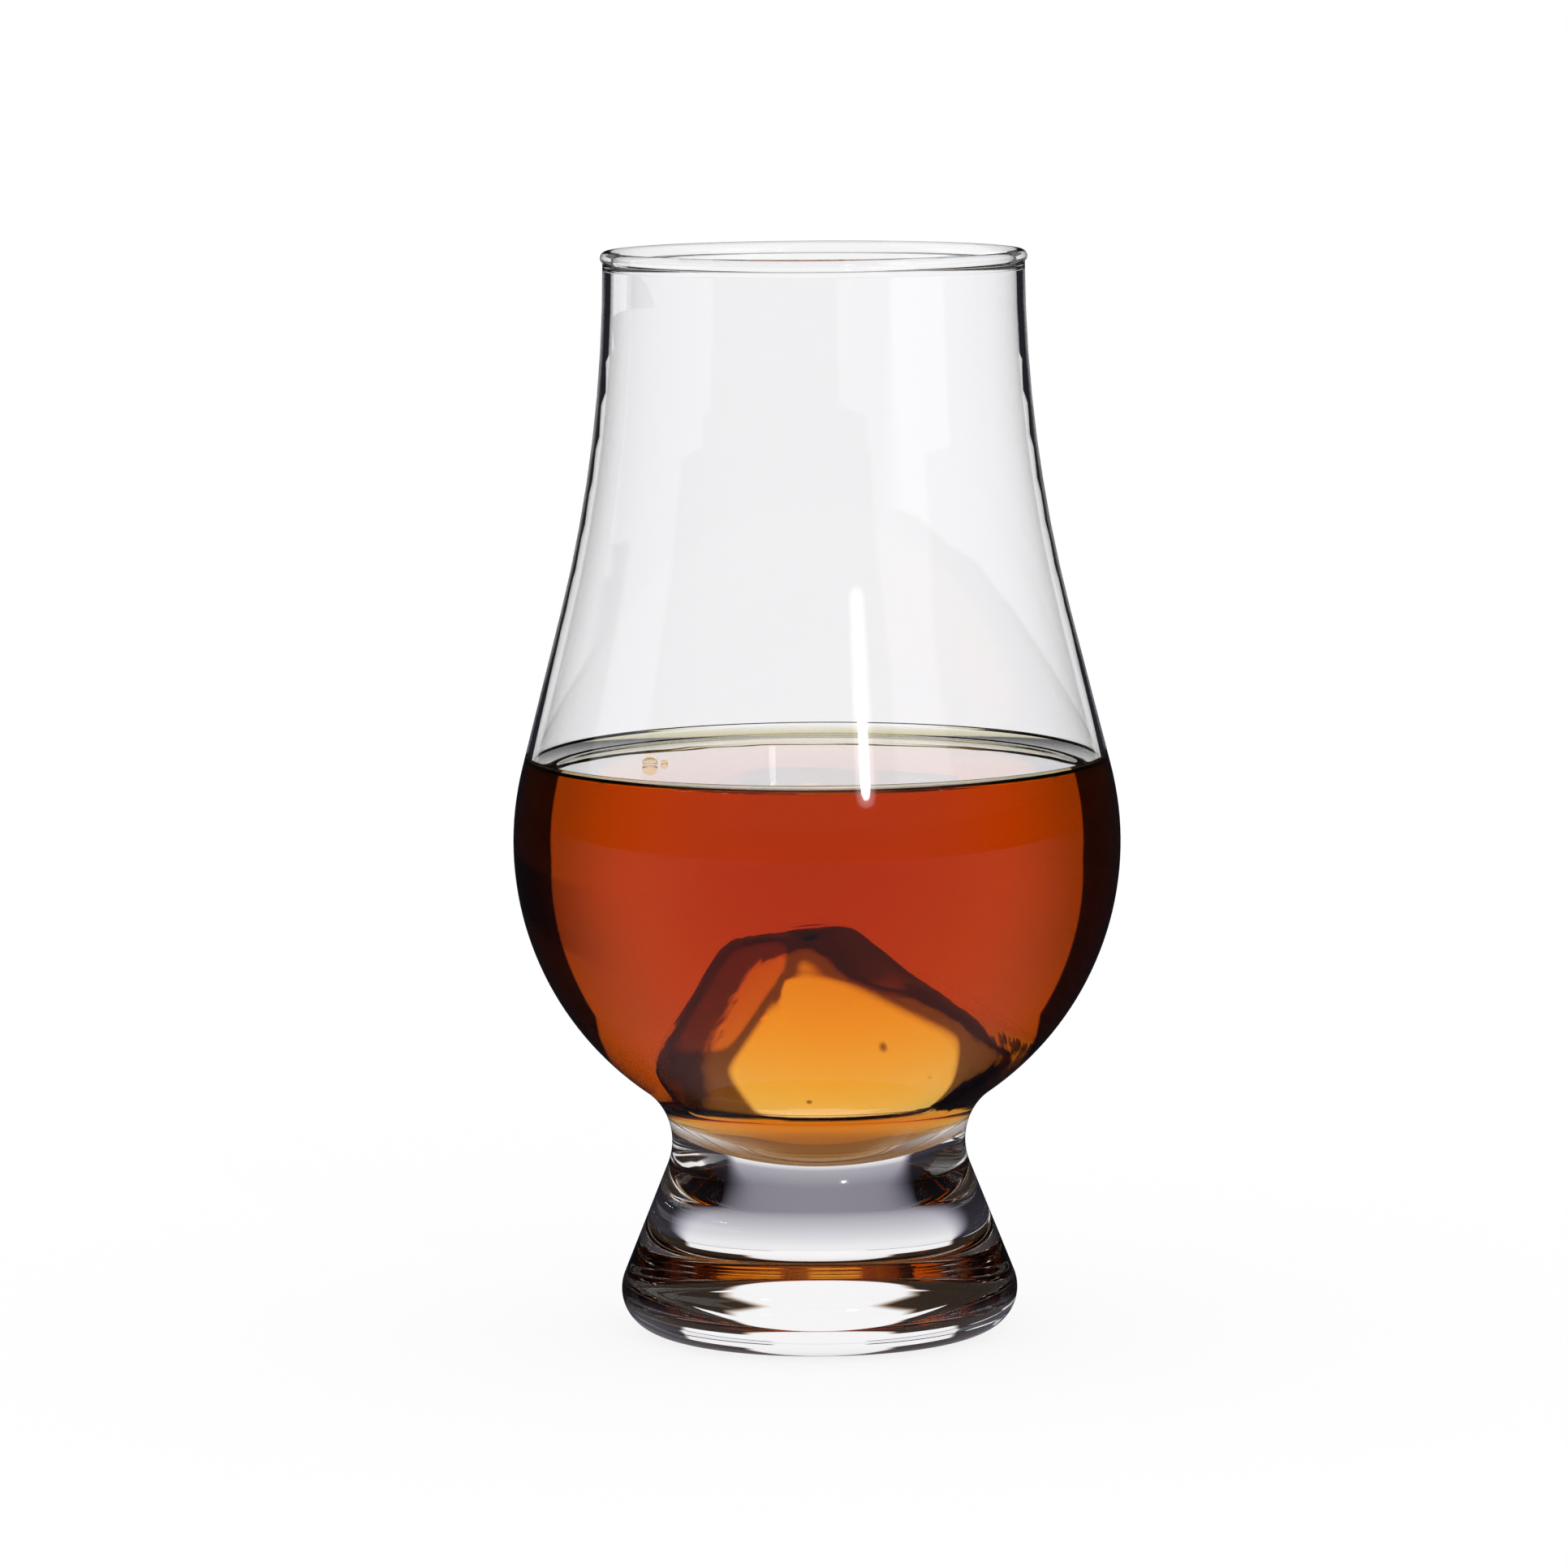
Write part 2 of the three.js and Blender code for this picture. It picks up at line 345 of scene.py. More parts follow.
def ice_lump(name, shrink):
    """The ice, or the slightly smaller pocket for it. An attribute keeps the painted shade of each place."""
    low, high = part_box("ice_lump")
    bpy.ops.object.select_all(action="DESELECT")
    bpy.ops.mesh.primitive_ico_sphere_add(subdivisions=ICE_FINENESS, radius=1)
    piece = bpy.context.object
    piece.name = name
    edge = piece.data.attributes.new("edge", "FLOAT", "POINT")
    for corner in piece.data.vertices:
        way = corner.co.normalized()
        blocks = [ice_reach(way, faces, shrink) for faces in (ICE_PEAK, ICE_SHOULDER)]
        shares = [reach**ICE_JOIN for reach, dark in blocks]
        reach = sum(shares) ** (1 / ICE_JOIN)
        dark = sum(share * block[1] for share, block in zip(shares, blocks)) / sum(shares)
        # Painted shade: the right end of the lump turns dark
        end = (way.x * reach - ICE_PAINTED_SHADE_END) / ICE_PAINTED_SHADE_FADE
        edge.data[corner.index].value = dark + min(1, max(0, end))
        notch = ICE_NOTCH_DEPTH * math.exp((way.dot(ICE_NOTCH_FACING) - 1) / ICE_NOTCH_SPREAD)
        corner.co = way * (reach - notch) * MM
    bottom = min(corner.co.z for corner in piece.data.vertices)
    shift = Vector((ICE_SHIFT * MM, 0, low[2] - bottom + shrink * MM))
    for corner in piece.data.vertices:
        corner.co += shift
    bpy.ops.object.shade_smooth()
    return piece


def bubble(across, depth, radius):
    """A thin dome of whisky film, open below and just clear of the whisky's top."""
    bpy.ops.object.select_all(action="DESELECT")
    bpy.ops.mesh.primitive_uv_sphere_add(
        segments=BUBBLE_TURN_STEPS, ring_count=BUBBLE_RINGS, radius=radius * MM
    )
    piece = bpy.context.object
    bpy.ops.object.mode_set(mode="EDIT")
    bpy.ops.mesh.select_all(action="SELECT")
    cut = (0, 0, -BUBBLE_CUT * radius * MM)
    bpy.ops.mesh.bisect(plane_co=cut, plane_no=(0, 0, 1), clear_inner=True)
    bpy.ops.mesh.select_all(action="SELECT")
    bpy.ops.transform.resize(value=(1, 1, BUBBLE_SQUASH))
    lift = whisky_height(math.hypot(across, depth)) + BUBBLE_LIFT * radius + BUBBLE_CLEARANCE
    bpy.ops.transform.translate(value=(across * MM, depth * MM, lift * MM))
    bpy.ops.object.mode_set(mode="OBJECT")
    bpy.ops.object.modifier_add(type="SOLIDIFY")
    film = piece.modifiers[0]
    film.thickness = BUBBLE_FILM * radius * MM
    film.offset = -1
    bpy.ops.object.modifier_apply(modifier=film.name)
    bpy.ops.object.shade_smooth()
    return piece


def linear(hexcode):
    """An sRGB hex colour as linear red, green, blue and alpha."""
    parts = [int(hexcode[place:place + 2], 16) / 255 for place in (1, 3, 5)]
    return [p / 12.92 if p <= 0.04045 else ((p + 0.055) / 1.055) ** 2.4 for p in parts] + [1]


def add_node(tree, kind, settings=(), links=()):
    """Adds a node, sets its sockets and properties, and gives its inputs a link or a plain value."""
    node = tree.nodes.new(kind)
    for key, value in dict(settings).items():
        if isinstance(key, int) or key in node.inputs:
            node.inputs[key].default_value = value
        else:
            setattr(node, key, value)
    for key, source in dict(links).items():
        if isinstance(source, bpy.types.NodeSocket):
            tree.links.new(source, node.inputs[key])
        else:
            node.inputs[key].default_value = source
    return node


def new_material(name):
    material = bpy.data.materials.new(name)
    material.use_nodes = True
    material.node_tree.nodes.clear()
    return material, material.node_tree


def glass_material(name, index, specular):
    """Soda-lime glass, blown and fire-polished: clear and almost white, with slow waves that bend the view.

    The index is taken against what touches the glass. It is lower where whisky wets it, so that the wall
    seems to vanish there.
    """
    material, tree = new_material(name)
    place = add_node(tree, "ShaderNodeTexCoord").outputs["Object"]
    waves = add_node(
        tree, "ShaderNodeTexNoise", {"Scale": 1 / (GLASS_WAVE * MM), "Detail": 1.0}, {"Vector": place}
    ).outputs["Fac"]
    bump = add_node(
        tree, "ShaderNodeBump", {"Strength": 1.0, "Distance": GLASS_WAVE_HEIGHT * MM}, {"Height": waves}
    ).outputs[0]
    shader = add_node(
        tree,
        "ShaderNodeBsdfPrincipled",
        {
            "Base Color": linear("#FDFDFE"),
            "Roughness": 0.0,
            "IOR": index,
            "Specular IOR Level": specular,
            "Transmission Weight": 1.0,
        },
        {"Normal": bump},
    )
    add_node(tree, "ShaderNodeOutputMaterial", links={"Surface": shader.outputs[0]})
    return material


def whisky_material():
    """Whisky aged in oak: amber that deepens to red with depth, under a level top that mirrors.

    Painted shade makes the skin black where it slants away at the sides, for the dark the wall bends into
    view.
    """
    material, tree = new_material("amber_whisky")
    place = add_node(tree, "ShaderNodeTexCoord").outputs["Object"]
    surface = add_node(tree, "ShaderNodeNewGeometry")
    slant = add_node(tree, "ShaderNodeLayerWeight", {"Blend": 0.5}).outputs["Facing"]
    height = add_node(tree, "ShaderNodeSeparateXYZ", links={0: place}).outputs["Z"]
    wall = add_node(tree, "ShaderNodeAttribute", {"attribute_name": "wall"}).outputs["Fac"]

    # Painted shade: black sides, on the near face of the skin alone
    limit = add_node(
        tree,
        "ShaderNodeMapRange",
        {
            "From Min": BAND_LOW * MM,
            "From Max": BAND_HIGH * MM,
            "To Min": BAND_LOW_SLANT,
            "To Max": BAND_HIGH_SLANT,
        },
        {"Value": height},
    ).outputs[0]
    taper = add_node(
        tree,
        "ShaderNodeMapRange",
        {"From Min": TAPER_LOW * MM, "From Max": TAPER_HIGH * MM, "To Min": TAPER_SLANT, "To Max": 0.0},
        {"Value": height},
    ).outputs[0]
    limit = add_node(tree, "ShaderNodeMath", {"operation": "ADD"}, {0: limit, 1: taper}).outputs[0]
    past = add_node(tree, "ShaderNodeMath", {"operation": "SUBTRACT"}, {0: slant, 1: limit}).outputs[0]
    painted_dark_sides = add_node(
        tree,
        "ShaderNodeMapRange",
        SMOOTH | {"From Min": BAND_INNER_EDGE, "From Max": BAND_OUTER_EDGE},
        {"Value": past},
    ).outputs[0]
    near = add_node(
        tree, "ShaderNodeMath", {"operation": "SUBTRACT", 0: 1.0}, {1: surface.outputs["Backfacing"]}
    ).outputs[0]
    above = add_node(
        tree, "ShaderNodeMath", {"operation": "GREATER_THAN", 1: BAND_BOTTOM * MM}, {0: height}
    ).outputs[0]
    for share in (near, above, wall):
        painted_dark_sides = add_node(tree, "ShaderNodeMath", {"operation": "MULTIPLY"}, {0: painted_dark_sides, 1: share}).outputs[0]

    # Dimmer towards the sides in the upper half, which is painted shade, and browner at the very bottom
    dim = add_node(
        tree, "ShaderNodeMapRange", SMOOTH | {"From Min": -DIM_SLANT, "From Max": 0.0}, {"Value": past}
    ).outputs[0]
    upper = add_node(
        tree,
        "ShaderNodeMapRange",
        SMOOTH | {"From Min": DIM_LOW * MM, "From Max": DIM_HIGH * MM},
        {"Value": height},
    ).outputs[0]
    for share in (upper, wall):
        dim = add_node(tree, "ShaderNodeMath", {"operation": "MULTIPLY"}, {0: dim, 1: share}).outputs[0]
    brown = add_node(
        tree,
        "ShaderNodeMapRange",
        SMOOTH | {"From Min": BROWN_HIGH * MM, "From Max": BROWN_LOW * MM},
        {"Value": height},
    ).outputs[0]
    tint = linear("#FFFFFF")
    for share, colour in ((dim, "#C6C397"), (brown, "#A07C56"), (painted_dark_sides, "#060403")):
        tint = add_node(
            tree, "ShaderNodeMix", {"data_type": "RGBA", 7: linear(colour)}, {0: share, 6: tint}
        ).outputs[2]

    ripples = add_node(
        tree, "ShaderNodeTexNoise", {"Scale": 1 / (RIPPLE * MM), "Detail": 1.0}, {"Vector": place}
    ).outputs["Fac"]
    bump = add_node(
        tree, "ShaderNodeBump", {"Strength": 1.0, "Distance": RIPPLE_HEIGHT * MM}, {"Height": ripples}
    ).outputs[0]
    open_top = add_node(
        tree,
        "ShaderNodeBsdfPrincipled",
        {
            "Base Color": linear("#FFFFFF"),
            "Roughness": 0.0,
            "IOR": WHISKY_INDEX,
            "Transmission Weight": 1.0,
            "Coat Weight": 1.0,
            "Coat Roughness": 0.0,
            "Coat IOR": WHISKY_COAT_INDEX,
        },
        {"Normal": bump, "Coat Normal": bump},
    )
    wetted = add_node(
        tree,
        "ShaderNodeBsdfPrincipled",
        {"Roughness": 0.0, "IOR": 1.0, "Transmission Weight": 1.0},
        {"Base Color": tint},
    )
    skin = add_node(tree, "ShaderNodeAttribute", {"attribute_name": "skin"}).outputs["Fac"]
    shader = add_node(
        tree, "ShaderNodeMixShader", links={0: skin, 1: open_top.outputs[0], 2: wetted.outputs[0]}
    )
    depth = add_node(
        tree, "ShaderNodeVolumeAbsorption", {"Color": linear("#F7D92F"), "Density": WHISKY_DENSITY}
    )
    add_node(
        tree,
        "ShaderNodeOutputMaterial",
        links={"Surface": shader.outputs[0], "Volume": depth.outputs[0]},
    )
    return material


def ice_material():
    """Clear ice, broken and half melted: bright where it is seen straight through, with a few trapped specks.

    Its edges get painted shade for what they bend in from further off: first whisky red, then nearly black.
    """
    material, tree = new_material("clear_melting_ice")
    place = add_node(tree, "ShaderNodeTexCoord").outputs["Object"]
    edge = add_node(tree, "ShaderNodeAttribute", {"attribute_name": "edge"}).outputs["Fac"]
    slant = add_node(tree, "ShaderNodeLayerWeight", {"Blend": 0.5}).outputs["Facing"]
    # Painted shade: red, then nearly black, where the edge attribute is high and the surface slants away
    turned, red, black = [
        add_node(
            tree, "ShaderNodeMapRange", SMOOTH | {"From Min": start, "From Max": end}, {"Value": amount}
        ).outputs[0]
        for amount, (start, end) in ((slant, ICE_SLANT), (edge, ICE_RED), (edge, ICE_BLACK))
    ]
    tint = linear("#FFFFFF")
    for share, colour in ((red, "#B8704A"), (black, "#3C2616")):
        share = add_node(tree, "ShaderNodeMath", {"operation": "MULTIPLY"}, {0: share, 1: turned}).outputs[0]
        tint = add_node(
            tree, "ShaderNodeMix", {"data_type": "RGBA", 7: linear(colour)}, {0: share, 6: tint}
        ).outputs[2]

    cells = add_node(
        tree, "ShaderNodeTexVoronoi", {"Scale": 1 / (ICE_SPECK_SPACING * MM)}, {"Vector": place}
    ).outputs
    speck = add_node(
        tree,
        "ShaderNodeMapRange",
        SMOOTH | {"From Min": ICE_SPECK_OUTSIDE, "From Max": ICE_SPECK_INSIDE},
        {"Value": cells["Distance"]},
    ).outputs[0]
    chosen = add_node(tree, "ShaderNodeSeparateColor", links={"Color": cells["Color"]}).outputs["Red"]
    chosen = add_node(
        tree, "ShaderNodeMath", {"operation": "GREATER_THAN", 1: ICE_SPECK_RARITY}, {0: chosen}
    ).outputs[0]
    speck = add_node(tree, "ShaderNodeMath", {"operation": "MULTIPLY"}, {0: speck, 1: chosen}).outputs[0]
    tint = add_node(
        tree, "ShaderNodeMix", {"data_type": "RGBA", 7: linear("#6A4A2C")}, {0: speck, 6: tint}
    ).outputs[2]

    dimples = add_node(
        tree, "ShaderNodeTexNoise", {"Scale": 1 / (ICE_DIMPLE * MM), "Detail": 2.0}, {"Vector": place}
    ).outputs["Fac"]
    bump = add_node(
        tree, "ShaderNodeBump", {"Strength": 1.0, "Distance": ICE_DIMPLE_DEPTH * MM}, {"Height": dimples}
    ).outputs[0]
    shader = add_node(
        tree,
        "ShaderNodeBsdfPrincipled",
        {"Roughness": 0.0, "IOR": ICE_INDEX / WHISKY_INDEX, "Transmission Weight": 1.0},
        {"Base Color": tint, "Normal": bump},
    )
    add_node(tree, "ShaderNodeOutputMaterial", links={"Surface": shader.outputs[0]})
    return material


def bubble_material():
    """A film of whisky round air: clear, faintly warm, and drawn by the bend of its rim."""
    material, tree = new_material("whisky_film")
    shader = add_node(
        tree,
        "ShaderNodeBsdfPrincipled",
        {"Base Color": linear("#FFF6E4"), "Roughness": 0.0, "IOR": WHISKY_INDEX, "Transmission Weight": 1.0},
    )
    add_node(tree, "ShaderNodeOutputMaterial", links={"Surface": shader.outputs[0]})
    return material


def finish_piece(piece, materials, body, *nodes):
    piece.data.materials.clear()
    for material in materials:
        piece.data.materials.append(material)
    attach(piece, body)
    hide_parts(*nodes)


glass = spun("glass_body", glass_outline())
whisky = spun("whisky_fill", whisky_outline())
ice = ice_lump("ice_lump_worn", 0)
pocket = ice_lump("ice_pocket", ICE_SKIN)

# The whisky is hollow where the ice lies.
bpy.ops.object.select_all(action="DESELECT")
pocket.select_set(True)
bpy.context.view_layer.objects.active = pocket
bpy.ops.object.mode_set(mode="EDIT")
bpy.ops.mesh.select_all(action="SELECT")
bpy.ops.mesh.flip_normals()
bpy.ops.object.mode_set(mode="OBJECT")
whisky.select_set(True)
bpy.context.view_layer.objects.active = whisky
bpy.ops.object.join()

finish_piece(
    glass,
    [
        glass_material("clear_soda_lime_glass", GLASS_INDEX, GLASS_SPECULAR),
        glass_material("soda_lime_glass_wetted", GLASS_INDEX / WHISKY_INDEX, GLASS_SPECULAR),
        glass_material("soda_lime_glass_inside", GLASS_INDEX, GLASS_INSIDE_SPECULAR),
    ],
    "glass",
    "bowl",
    "foot",
)
finish_piece(whisky, [whisky_material()], "contents", "whisky")
finish_piece(ice, [ice_material()], "contents", "ice_lump")

bubbles = [bubble(*place) for place in BUBBLES]
bpy.ops.object.select_all(action="DESELECT")
for piece in bubbles:
    piece.select_set(True)
bpy.context.view_layer.objects.active = bubbles[0]
bpy.ops.object.join()
froth = bpy.context.object
froth.name = "surface_bubbles"
froth.data.materials.clear()
froth.data.materials.append(bubble_material())
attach(froth, "contents")

# Which faces of the whisky touch the glass or the ice, and which of the glass the whisky wets
belly_middle = Vector((0, 0, BELLY_HEIGHT * MM))
skin = whisky.data.attributes.new("skin", "FLOAT", "FACE")
wall = whisky.data.attributes.new("wall", "FLOAT", "FACE")
for face in whisky.data.polygons:
    away = (face.center - belly_middle).length
    at_glass = away > SKIN_DISTANCE * MM and face.normal.z < LOOKS_UP
    at_ice = away < SKIN_DISTANCE * MM and face.center.z < ICE_BELOW * MM
    skin.data[face.index].value = 1 if at_glass or at_ice else 0
    wall.data[face.index].value = 1 if at_glass else 0
for face in glass.data.polygons:
    outward = Vector((face.center.x, face.center.y, 0)).normalized()
    above_floor = face.center.z > (INSIDE_FLOOR - UNDER_FLOOR) * MM
    if above_floor and face.normal.dot(outward) < LOOKS_OUT:
        face.material_index = 1 if face.center.z < FILL_TOP * MM else 2

# Stage. A white backdrop shows through the thin bowl, and a dark room through solid glass. Panels stand
# in the room behind the glass, for each way it is looked at: wide at the floor, narrower higher up.
# Their places and rises are in degrees.
PANELS = (90, 180, 315)
PANEL_FOOT = math.tan(math.radians(32))
PANEL_MIDDLE = math.tan(math.radians(15))
PANEL_TOP = math.tan(math.radians(5))
PANEL_FOOT_RISE = (6, 9)
PANEL_TOP_RISE = (14, 34)
PANEL_SOFT = 0.03
ROOM_LIGHT = 0.03
BACKDROP_SOFT = 0.6
BACKDROP_RISE = 10

# How many surfaces or mirrors light has met, at half steps, and what it then sees
PAST_BOWL = 3.5
PAST_ICE = 8.5
MIRRORED = 0.5
MIRRORED_OFTEN = 5.5
BACKDROP_LIGHT = 1.04
BACKDROP_LIGHT_PAST_ICE = 1.28
MIRRORED_LIGHT = 0.1
MIRRORED_OFTEN_LIGHT = 0.1

# How many layers and mirrors light is followed through
LAYERS = 40
MIRRORS = 16

# Pale front of the room, which the outside of the glass mirrors: the angles in degrees at which it starts
# to fade and ends, and its strength. Then the light of the sides.
FRONT_WALL = (20, 85, 0.28)
FRONT_FLOOR = (60, 125, 0.32)
SIDE_LIGHT = 0.015

# Lamp: its way and size, then the core and edge of each glow in degrees, and its strength
LAMP_TURN = math.radians(19.6)
LAMP_RISE = math.radians(22.4)
LAMP_WAY = Vector((
    math.sin(LAMP_TURN) * math.cos(LAMP_RISE),
    -math.cos(LAMP_TURN) * math.cos(LAMP_RISE),
    math.sin(LAMP_RISE),
))
LAMP_AIM = 65
LAMP_WIDTH = 45
LAMP_LENGTH = 62
LAMP_POWER = 0.7
LAMP_GLOWS = ((0.9, 2.2, 40), (0.5, 4.5, 4))

# Floor: distances from the axis at which its painted light changes, and how much the camera sees of its own
# shade
FLOOR_REACH = 4000
FLOOR_SINK = 0.2
FLOOR_SHADE = 0.15
UNDER_FOOT = (14, 26)
UNDER_FOOT_LIGHT = 0.1
STEEP_SLANT = 0.37
STEEP_LIGHT = 0.36
GRAZING_SLANT = 0.91
GRAZING_LIGHT = 0.93
AROUND_FOOT = (36, 52)
AROUND_FOOT_LIGHT = 0.9
WEDGE_START = 14.7
WEDGE_SOFT = 2
WEDGE_OUTSIDE_LIGHT = 0.06
FAR_FADE = (280, 400)
FAR_LIGHT = 0.03
SIGHTS = (90, 135, 180, 315)
SIGHT = math.tan(math.radians(9))
SIGHT_SOFT = 10
SIGHT_START = (170, 210)
FLOOR_BACKDROP_SOFT = 50

# Camera, fitted to the photo
PHOTO_WIDTH = 1932
FOCAL_PIXELS = 9230
SENSOR = 36
CAMERA_PLACE = (0, -789.9, 151.6)
CAMERA_PITCH = math.radians(6.729)
CAMERA_YAW = math.atan(40.5 / FOCAL_PIXELS)
CAMERA_ROLL = math.radians(0.37)
CAMERA_NEAREST = 10


def seen_through(tree, behind, solid):
    """Strength for rays from clear layers, which show the bright backdrop, or from solid glass."""
    rays = add_node(tree, "ShaderNodeLightPath").outputs
    crossed = rays["Transmission Depth"]
    mirrors = add_node(
        tree, "ShaderNodeMath", {"operation": "SUBTRACT"}, {0: rays["Ray Depth"], 1: crossed}
    ).outputs[0]
    past_bowl, past_ice, often = [
        add_node(tree, "ShaderNodeMath", {"operation": "GREATER_THAN", 1: limit}, {0: count}).outputs[0]
        for count, limit in ((crossed, PAST_BOWL), (crossed, PAST_ICE), (mirrors, MIRRORED_OFTEN))
    ]
    straight = add_node(
        tree, "ShaderNodeMath", {"operation": "LESS_THAN", 1: MIRRORED}, {0: mirrors}
    ).outputs[0]
    shown = add_node(tree, "ShaderNodeMath", {"operation": "MAXIMUM"}, {0: behind, 1: straight}).outputs[0]
    clear = add_node(
        tree, "ShaderNodeMix", {"A": BACKDROP_LIGHT, "B": BACKDROP_LIGHT_PAST_ICE}, {"Factor": past_ice}
    ).outputs["Result"]
    clear = add_node(
        tree, "ShaderNodeMix", {"A": MIRRORED_LIGHT}, {"Factor": shown, "B": clear}
    ).outputs["Result"]
    solid = add_node(
        tree, "ShaderNodeMix", {"B": MIRRORED_OFTEN_LIGHT}, {"Factor": often, "A": solid}
    ).outputs["Result"]
    return add_node(
        tree, "ShaderNodeMix", links={"Factor": past_bowl, "A": solid, "B": clear}
    ).outputs["Result"]


def seen_white(tree, plain, glossy, through):
    """Strength for plain light, and for rays that the glass mirrors, the glass bends or the camera sends."""
    rays = add_node(tree, "ShaderNodeLightPath").outputs
    strength = plain
    for kind, light in (("Is Glossy Ray", glossy), ("Is Transmission Ray", through), ("Is Camera Ray", 1.0)):
        strength = add_node(
            tree, "ShaderNodeMix", links={"Factor": rays[kind], "A": strength, "B": light}
        ).outputs["Result"]
    return strength


def shade_colour(tree, dim, strength):
    """Dim light has a colour and full light is white."""
    return add_node(
        tree,
        "ShaderNodeMix",
        {"data_type": "RGBA", 6: linear(dim), 7: linear("#FFFFFF")},
        {0: strength},
    ).outputs[2]


def within_wedges(tree, place, spread, turns):
    """How far a place or way lies inside the nearest wedge that widens behind the glass."""
    nearest = None
    for turn in turns:
        turn = math.radians(turn)
        axes = ((math.cos(turn), math.sin(turn), 0), (-math.sin(turn), math.cos(turn), 0))
        along, across = [
            add_node(
                tree, "ShaderNodeVectorMath", {"operation": "DOT_PRODUCT", 1: axis}, {0: place}
            ).outputs["Value"]
            for axis in axes
        ]
        across = add_node(tree, "ShaderNodeMath", {"operation": "ABSOLUTE"}, {0: across}).outputs[0]
        half = add_node(tree, "ShaderNodeMath", {"operation": "MULTIPLY"}, {0: along, 1: spread}).outputs[0]
        past = add_node(tree, "ShaderNodeMath", {"operation": "SUBTRACT"}, {0: half, 1: across}).outputs[0]
        if nearest is not None:
            past = add_node(
                tree, "ShaderNodeMath", {"operation": "MAXIMUM"}, {0: nearest, 1: past}
            ).outputs[0]
        nearest = past
    return nearest


def lies_behind(tree, place, soft):
    """Whether a place or way lies behind the glass, where the backdrop hangs."""
    depth = add_node(
        tree, "ShaderNodeVectorMath", {"operation": "DOT_PRODUCT", 1: (-1, 1, 0)}, {0: place}
    ).outputs["Value"]
    return add_node(
        tree, "ShaderNodeMapRange", SMOOTH | {"From Min": -soft, "From Max": soft}, {"Value": depth}
    ).outputs[0]


def pale_front(tree, place, core, edge, strength):
    """What the outside of the glass mirrors: a pale front that fades towards dark sides."""
    way = add_node(tree, "ShaderNodeVectorMath", {"operation": "NORMALIZE"}, {0: place}).outputs[0]
    ahead = add_node(
        tree, "ShaderNodeVectorMath", {"operation": "DOT_PRODUCT", 1: (0, -1, 0)}, {0: way}
    ).outputs["Value"]
    return add_node(
        tree,
        "ShaderNodeMapRange",
        SMOOTH
        | {
            "From Min": math.cos(math.radians(edge)),
            "From Max": math.cos(math.radians(core)),
            "To Min": SIDE_LIGHT,
            "To Max": strength,
        },
        {"Value": ahead},
    ).outputs[0]


def make_camera():
    data = bpy.data.cameras.new("camera")
    data.sensor_width = SENSOR
    data.lens = SENSOR * FOCAL_PIXELS / PHOTO_WIDTH
    data.clip_start = CAMERA_NEAREST * MM
    camera = bpy.data.objects.new("camera", data)
    bpy.context.scene.collection.objects.link(camera)
    turn = (
        Matrix.Rotation(CAMERA_YAW, 4, "Z")
        @ Matrix.Rotation(QUARTER - CAMERA_PITCH, 4, "X")
        @ Matrix.Rotation(-CAMERA_ROLL, 4, "Z")
    )
    camera.matrix_world = Matrix.Translation(Vector(CAMERA_PLACE) * MM) @ turn
    bpy.context.scene.camera = camera


def make_world():
    world = bpy.data.worlds.new("studio")
    bpy.context.scene.world = world
    world.use_nodes = True
    tree = world.node_tree
    tree.nodes.clear()
    way = add_node(tree, "ShaderNodeTexCoord").outputs["Generated"]
    rise = add_node(tree, "ShaderNodeSeparateXYZ", links={0: way}).outputs["Z"]
    level = add_node(
        tree, "ShaderNodeVectorMath", {"operation": "MULTIPLY", 1: (1, 1, 0)}, {0: way}
    ).outputs[0]
    level = add_node(tree, "ShaderNodeVectorMath", {"operation": "NORMALIZE"}, {0: level}).outputs[0]

    # Dark room with panels, seen through solid glass
    foot_low, foot_high, top_low, top_high = [
        math.sin(math.radians(angle)) for angle in PANEL_FOOT_RISE + PANEL_TOP_RISE
    ]
    spread = add_node(
        tree,
        "ShaderNodeMapRange",
        {"From Min": top_low, "From Max": top_high, "To Min": PANEL_MIDDLE, "To Max": PANEL_TOP},
        {"Value": rise},
    ).outputs[0]
    spread = add_node(
        tree,
        "ShaderNodeMapRange",
        SMOOTH | {"From Min": foot_low, "From Max": foot_high, "To Min": PANEL_FOOT},
        {"Value": rise, "To Max": spread},
    ).outputs[0]
    past = within_wedges(tree, level, spread, PANELS)
    room = add_node(
        tree,
        "ShaderNodeMapRange",
        SMOOTH | {"From Min": -PANEL_SOFT, "From Max": PANEL_SOFT, "To Min": ROOM_LIGHT},
        {"Value": past},
    ).outputs[0]

    # White backdrop, seen through the bowl
    upward = add_node(
        tree,
        "ShaderNodeMath",
        {"operation": "GREATER_THAN", 1: math.sin(math.radians(BACKDROP_RISE))},
        {0: rise},
    ).outputs[0]
    behind = lies_behind(tree, level, BACKDROP_SOFT)
    behind = add_node(tree, "ShaderNodeMath", {"operation": "MAXIMUM"}, {0: behind, 1: upward}).outputs[0]
    through = seen_through(tree, behind, room)

    # Pale front and the lamp's soft glow, mirrored by the outside of the glass
    front = pale_front(tree, way, *FRONT_WALL)
    aim = add_node(
        tree, "ShaderNodeVectorMath", {"operation": "DOT_PRODUCT", 1: LAMP_WAY}, {0: way}
    ).outputs["Value"]
    for core, edge, glow in LAMP_GLOWS:
        spot = add_node(
            tree,
            "ShaderNodeMapRange",
            SMOOTH
            | {
                "From Min": math.cos(math.radians(edge)),
                "From Max": math.cos(math.radians(core)),
                "To Max": glow,
            },
            {"Value": aim},
        ).outputs[0]
        front = add_node(tree, "ShaderNodeMath", {"operation": "ADD"}, {0: front, 1: spot}).outputs[0]
    strength = seen_white(tree, 1.0, front, through)
    colour = shade_colour(tree, "#FFD9B8", strength)
    shade = add_node(tree, "ShaderNodeBackground", links={"Color": colour, "Strength": strength})
    add_node(tree, "ShaderNodeOutputWorld", links={"Surface": shade.outputs[0]})


